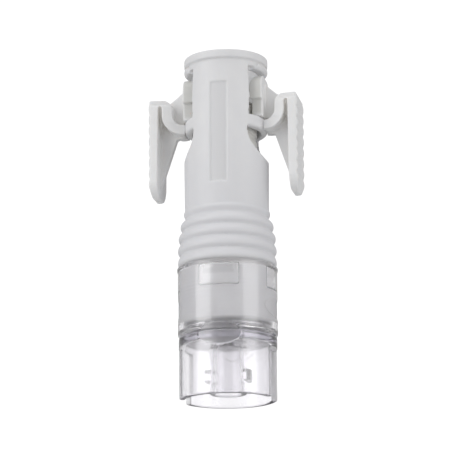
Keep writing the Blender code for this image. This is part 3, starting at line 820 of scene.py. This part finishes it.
def claw():
    """Block in the window above the torsion bar: flat outside, on a narrower neck, with a hook inside."""
    low, high, step = hinge.z + BAR_HALF_HEIGHT, lever_high.z - 0.12, 50.1
    half, neck, bore, inside = 3.55, 2.95, BAR_INNER + 0.05, 4.3
    nail = rounded([
        (-neck, low, 0), (neck, low, 0), (neck, step, 0.25), (half, step, 0.2),
        (half, high, 2.3), (-half, high, 2.3), (-half, step, 0.2), (-neck, step, 0.25),
    ], 12)
    core = lathe("claw_core", [(0, high + 1), (bore, high + 1), (bore, low - 1), (0, low - 1)])
    plate = cut(slab("claw", nail, inside, CLAW_FACE, "YZ"), core)
    hook_tip, hook_foot, hook_top = 5.0, 53.1, 54.3
    hook = slab("claw_hook", sector(hook_tip, bore + 0.3, 0, 17, 12), hook_foot, hook_top)
    return joined(plate, hook)


def make_levers():
    """Both levers. The left one is the mirror image of the right one."""
    right = joined(claw(), lever_web(), strap_and_pad(), crease_floor())
    right = softened(right, voxel=0.1, passes=5)
    right.name = "right_lever_moulding"
    left = mirrored(right, "left_lever_moulding")
    show(right, "right_lever", WHITE_LEVER)
    show(left, "left_lever", WHITE_LEVER)


# ---------------------------------------------------------------- clear collar and luer end

def oval(name, radius, half_width, half_height, height, turned):
    """Cutter for a shallow oval dish on the outside of a round wall, at the side if turned, else in front."""
    outline = ellipse((0, height), half_width, half_height, 64)
    prism = slab(name, outline, -THROUGH, THROUGH, "YZ" if turned else "XZ")
    core = [(0, height + 4), (radius, height + 4), (radius, height - 4), (0, height - 4)]
    return cut(prism, lathe(name + "_core", core))


def make_collar():
    """Clear ring snapped over the housing's skirt: a rolled top rim, four inner pockets and oval dishes."""
    top, bottom = collar_high.z, collar_low.z
    lip_radius, lip_top = 6.5, bottom + 0.6
    rim, rim_height = collar_high.x, 0.52
    pocket_radius, pocket_foot, pocket_top = COLLAR_RADIUS - 0.26, 17.85, 21.45
    ring = lathe("collar_moulding", rounded([
        (COLLAR_BORE, top, 0.12),
        (rim, top, 0.18),
        (rim, top - rim_height, 0.1),
        (COLLAR_RADIUS, top - rim_height - 0.13, 0.05),
        (COLLAR_RADIUS, bottom, 0.18),
        (lip_radius, bottom, 0.1),
        (lip_radius, lip_top, 0.1),
        (COLLAR_BORE, lip_top, 0.1),
    ]))
    for index in range(4):
        outline = sector(COLLAR_BORE - 0.4, pocket_radius, 90 * index, SNAP_HALF_DEG + 6)
        ring = cut(ring, slab(f"snap_pocket_{index}", outline, pocket_foot, pocket_top))
    ring = cut(ring, oval("side_dish", COLLAR_RADIUS - 0.1, *SIDE_OVAL, True),
               oval("front_dish", COLLAR_RADIUS - 0.3, *FRONT_OVAL, False))
    show(softened(ring, voxel=0.13, passes=2), "clear_collar", CLEAR_COLLAR)


def make_guard():
    """Clear luer guard: a swivel flange, a plate, and two long shells that leave a slot at each side."""
    swivel_top, swivel_under = guard_high.z, guard_high.z - 0.5
    inner = GUARD_RADIUS - GUARD_WALL
    neck, neck_bore, stem_hole = 6.2, 5.2, 2.0
    plate_under = GUARD_TOP - GUARD_PLATE
    guard = lathe("guard_moulding", rounded([
        (neck_bore, swivel_top, 0.1),
        (SKIRT_RADIUS, swivel_top, 0.15),
        (SKIRT_RADIUS, swivel_under, 0.15),
        (neck, swivel_under, 0.1),
        (neck, GUARD_TOP, 0.1),
        (GUARD_RADIUS, GUARD_TOP, 0.25),
        (GUARD_RADIUS, guard_low.z, 0.25),
        (inner, guard_low.z, 0.2),
        (inner, plate_under, 0.5),
        (stem_hole, plate_under, 0.1),
        (stem_hole, GUARD_TOP, 0.1),
        (neck_bore, GUARD_TOP, 0.1),
    ]))
    for index in range(2):
        outline = sector(inner - 0.5, GUARD_RADIUS + 1, 180 * index, SLOT_HALF_DEG)
        guard = cut(guard, slab(f"side_slot_{index}", outline, -1, SLOT_TOP))
    guard = cut(guard, oval("guard_dish", GUARD_RADIUS - 0.25, *FRONT_OVAL, False))
    show(softened(guard, voxel=0.135, passes=3), "luer_guard", CLEAR_GUARD)


def make_female_luer():
    """Female luer: tapered socket, two lugs across X, and a stem that runs up through the guard's plate."""
    mouth, stem_top = luer_low.z, luer_high.z
    shoulder, socket_top = GUARD_TOP - GUARD_PLATE - 0.25, 8.6
    mouth_radius, stem, lumen = 2.15, 1.8, 0.65
    slope = 0.03  # a taper of 6 percent narrows each side by 3
    narrow = mouth_radius - slope * (socket_top - mouth)
    lug_foot, lug_top, lug_half_deg = 3.05, 4.85, 32
    luer = lathe("luer_moulding", rounded([
        (lumen, stem_top, 0.1),
        (stem, stem_top, 0.2),
        (stem, shoulder, 0.15),
        (LUER_RADIUS, shoulder, 0.3),
        (LUER_RADIUS, mouth, 0.25),
        (mouth_radius, mouth, 0.12),
        (narrow, socket_top, 0.2),
        (lumen, socket_top + 0.5, 0.1),
    ]), segments=120)
    for index in range(2):
        outline = sector(LUER_RADIUS - 0.4, luer_high.x, 180 * index, lug_half_deg)
        luer = add(luer, slab(f"luer_lug_{index}", outline, lug_foot, lug_top))
    show(softened(luer, voxel=0.08, passes=4), "female_luer", CLEAR_LUER)


# ---------------------------------------------------------------- needle, septa and spring

def make_needle_hub():
    """Hub with grip flutes, which holds the needle."""
    low, high = span("needle_hub")
    radius, bore = high.x, 0.65
    hub = lathe("hub_moulding", rounded([
        (bore, high.z, 0.08), (radius - 0.1, high.z, 0.25), (radius, low.z, 0.15), (bore, low.z, 0.08),
    ]), segments=96)
    count, flute_radius, reach = 8, 0.28, 1.06 * radius
    for index in range(count):
        angle = FULL_TURN * index / count
        centre = (reach * math.cos(angle), reach * math.sin(angle))
        flute = ellipse(centre, flute_radius, flute_radius, 16)
        hub = cut(hub, slab(f"flute_{index}", flute, low.z + 1.0, high.z + 1.0))
    show(hub, "needle_hub", INSERT_WHITE_IN_SHADE, smooth_angle=35)


def make_needle():
    """Steel cannula with a slanted point."""
    low, high = span("needle")
    radius, bore = high.x, 0.28
    profile = [(bore, high.z), (radius, high.z), (radius, low.z), (bore, low.z)]
    tube = lathe("needle_cannula", profile, segments=48)
    slant = [(-1.0, high.z - 2.0), (1.0, high.z + 0.4), (-1.0, high.z + 0.4)]
    tube = cut(tube, slab("point_cutter", slant, -1, 1, "XZ"))
    show(tube, "needle", NEEDLE_STEEL, smooth_angle=35)


def make_carriage():
    """Sliding carriage that keeps a septum above and below the needle's point."""
    top, bottom, radius = carriage_high.z, carriage_low.z, carriage_high.x
    pocket, throat = 3.65, 2.9
    rear_seat, front_seat = 42.4, 47.0
    groove, groove_foot, groove_top = radius - 0.2, 43.4, 44.6
    body = lathe("carriage_moulding", rounded([
        (pocket, top, 0.1),
        (radius, top, 0.3),
        (radius, groove_top, 0.1),
        (groove, groove_top - 0.2, 0.1),
        (groove, groove_foot + 0.2, 0.1),
        (radius, groove_foot, 0.1),
        (radius, bottom, 0.3),
        (pocket, bottom, 0.1),
        (pocket, rear_seat, 0.1),
        (throat, rear_seat, 0.1),
        (throat, front_seat, 0.1),
        (pocket, front_seat, 0.1),
    ]), segments=128)
    show(body, "septum_carriage", INSERT_WHITE_IN_SHADE)


def make_front_septum():
    """Rubber face with a slightly crowned top. Its bore stands for the slit."""
    low, high = span("front_septum")
    face, body, shoulder, lumen = 2.8, high.x, 48.7, 0.65
    crown = 0.12
    septum = lathe("front_septum_rubber", rounded([
        (lumen, high.z, 0.1),
        (face - 0.6, high.z, 0.5),
        (face, high.z - crown - 0.1, 0.15),
        (face, shoulder, 0.1),
        (body, shoulder, 0.15),
        (body, low.z, 0.15),
        (lumen, low.z, 0.1),
    ]), segments=96)
    show(septum, "front_septum", RUBBER)


def make_rings_and_rear_septum():
    """The white ring round the front septum, the rear septum and its press ring."""
    low, high = span("front_septum_ring")
    bore, spigot, shoulder = 2.95, 3.5, 49.55
    front = lathe("front_ring_moulding", rounded([
        (bore, high.z, 0.15), (high.x, high.z, 0.25), (high.x, shoulder, 0.08), (spigot, shoulder, 0.05),
        (spigot, low.z, 0.1), (bore, low.z, 0.1),
    ]), segments=128)
    show(front, "front_septum_ring", INSERT_WHITE_IN_SHADE)
    for node, bore, finish in (("rear_septum", 0.65, RUBBER), ("rear_septum_ring", 1.6, INSERT_WHITE_IN_SHADE)):
        low, high = span(node)
        ring = lathe(node + "_moulding", rounded([
            (bore, high.z, 0.1), (high.x, high.z, 0.15), (high.x, low.z, 0.15), (bore, low.z, 0.1),
        ]), segments=96)
        show(ring, node, finish)


def make_return_spring():
    """Helical spring with closed end turns, built at one length; in the device it shortens as the carriage comes
    down. wire is a radius.
    """
    low, high = span("return_spring")
    wire, mean, turns, per_turn = 0.25, 4.3, 9, 48
    floor, ceiling = low.z + wire, high.z - wire
    end_rise = 2.3 * wire
    curve = bpy.data.curves.new("spring_wire", "CURVE")
    curve.dimensions = "3D"
    curve.bevel_depth = wire
    curve.bevel_resolution = 4
    curve.use_fill_caps = True
    spline = curve.splines.new("POLY")
    spline.points.add(turns * per_turn)
    for k, point in enumerate(spline.points):
        turn = k / per_turn
        if turn < 1:
            z = floor + end_rise * turn
        elif turn > turns - 1:
            z = ceiling - end_rise * (turns - turn)
        else:
            z = floor + end_rise + (ceiling - floor - 2 * end_rise) * (turn - 1) / (turns - 2)
        angle = FULL_TURN * turn
        point.co = (mean * math.cos(angle), mean * math.sin(angle), z, 1.0)
    spring = show(baked(bpy.data.objects.new("spring_wire", curve)), "return_spring", SPRING_STEEL)
    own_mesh(spring)


# ---------------------------------------------------------------- camera, light and stage

def make_camera():
    """Camera a little to the right of the front, low down and looking up the tube."""
    azimuth, pitch, roll = math.radians(11.3), math.radians(14.15), math.radians(-0.47)
    distance, height = 0.371, -0.064
    forward = Vector((-math.sin(azimuth) * math.cos(pitch), math.cos(azimuth) * math.cos(pitch),
                      math.sin(pitch)))
    level = Vector((math.cos(azimuth), math.sin(azimuth), 0))
    above = level.cross(forward)
    right = level * math.cos(roll) + above * math.sin(roll)
    up = above * math.cos(roll) - level * math.sin(roll)
    data = bpy.data.cameras.new("camera")
    data.sensor_width = 36.0
    data.lens = 184.4
    data.shift_x = -0.0047
    data.clip_start = 0.01
    data.clip_end = 20.0
    camera = bpy.data.objects.new("camera", data)
    turn = Matrix((right, up, -forward)).transposed().to_4x4()
    place = Vector((distance * math.sin(azimuth), -distance * math.cos(azimuth), height))
    camera.matrix_world = Matrix.Translation(place) @ turn
    bpy.context.scene.collection.objects.link(camera)
    bpy.context.scene.camera = camera


def soft_box(name, place, target, size, power):
    """White rectangular area light, in metres and watts, turned to its target."""
    data = bpy.data.lights.new(name, "AREA")
    data.shape = "RECTANGLE"
    data.size, data.size_y = size
    data.energy = power
    light = bpy.data.objects.new(name, data)
    aim = Vector(target) - Vector(place)
    light.matrix_world = Matrix.Translation(place) @ aim.to_track_quat("-Z", "Y").to_matrix().to_4x4()
    bpy.context.scene.collection.objects.link(light)


def make_lights():
    """A soft box on either side of the front, and one overhead."""
    middle = (0, 0, 0.5 * LENGTH * MM)
    soft_box("left_box", (-0.342, -0.308, 0.19), middle, (0.34, 0.42), 0.98)
    soft_box("right_box", (0.42, -0.187, 0.17), middle, (0.34, 0.42), 0.73)
    soft_box("top_box", (0.0, -0.10, 0.50), middle, (0.45, 0.35), 0.45)


def make_world():
    """An even tent: it lights softly, and the camera, also through clear plastic, sees it pure white."""
    world = bpy.data.worlds.new("tent")
    bpy.context.scene.world = world
    world.use_nodes = True
    tree = world.node_tree
    paths = new_node(tree, "ShaderNodeLightPath").outputs
    seen = maths(tree, "MAXIMUM", paths["Is Camera Ray"], paths["Is Transmission Ray"])
    as_light, as_backdrop = 0.39, 1.1
    level = ranged(tree, seen, 0, 1, as_light, as_backdrop)
    background = tree.nodes["Background"]
    background.inputs["Color"].default_value = (1, 1, 1, 1)
    tree.links.new(level, background.inputs["Strength"])


def make_floor():
    """Pale table top that fades into the tent. Its underside lets the low camera look through."""
    size, gap = 0.8, 0.00002
    fade_start, fade_end = 60.0, 420.0
    mesh = bpy.data.meshes.new("floor")
    work = bmesh.new()
    bmesh.ops.create_grid(work, x_segments=1, y_segments=1, size=size)
    work.to_mesh(mesh)
    work.free()
    floor = bpy.data.objects.new("floor", mesh)
    floor.location.z = cad_low.z - gap
    material, tree, shader, place = started("floor_paper")
    tooth = noise(tree, place, 1.2, 3.0)
    link(tree, shader, Base_Color=mixed(tree, tooth, (0.83, 0.83, 0.83, 1), (0.81, 0.81, 0.81, 1)),
         Normal=bump(tree, tooth, 0.05, 0.1))
    shader.inputs["Roughness"].default_value = 0.8
    side = new_node(tree, "ShaderNodeNewGeometry")
    away = new_node(tree, "ShaderNodeVectorMath", {0: place}, operation="LENGTH")
    faded = new_node(tree, "ShaderNodeMapRange",
                     {"Value": away.outputs["Value"], "From Min": fade_start, "From Max": fade_end},
                     interpolation_type="SMOOTHSTEP")
    open_share = maths(tree, "MAXIMUM", faded.outputs[0], side.outputs["Backfacing"])
    through = new_node(tree, "ShaderNodeBsdfTransparent")
    mix = new_node(tree, "ShaderNodeMixShader", {0: open_share})
    tree.links.new(shader.outputs[0], mix.inputs[1])
    tree.links.new(through.outputs[0], mix.inputs[2])
    tree.links.new(mix.outputs[0], tree.nodes["Material Output"].inputs["Surface"])
    floor.data.materials.append(material)
    bpy.context.scene.collection.objects.link(floor)


make_camera()
make_lights()
make_world()
make_floor()
make_housing()
make_levers()
make_collar()
make_guard()
make_female_luer()
make_needle_hub()
make_needle()
make_carriage()
make_front_septum()
make_rings_and_rear_septum()
make_return_spring()

bpy.context.scene.view_settings.view_transform = "Standard"
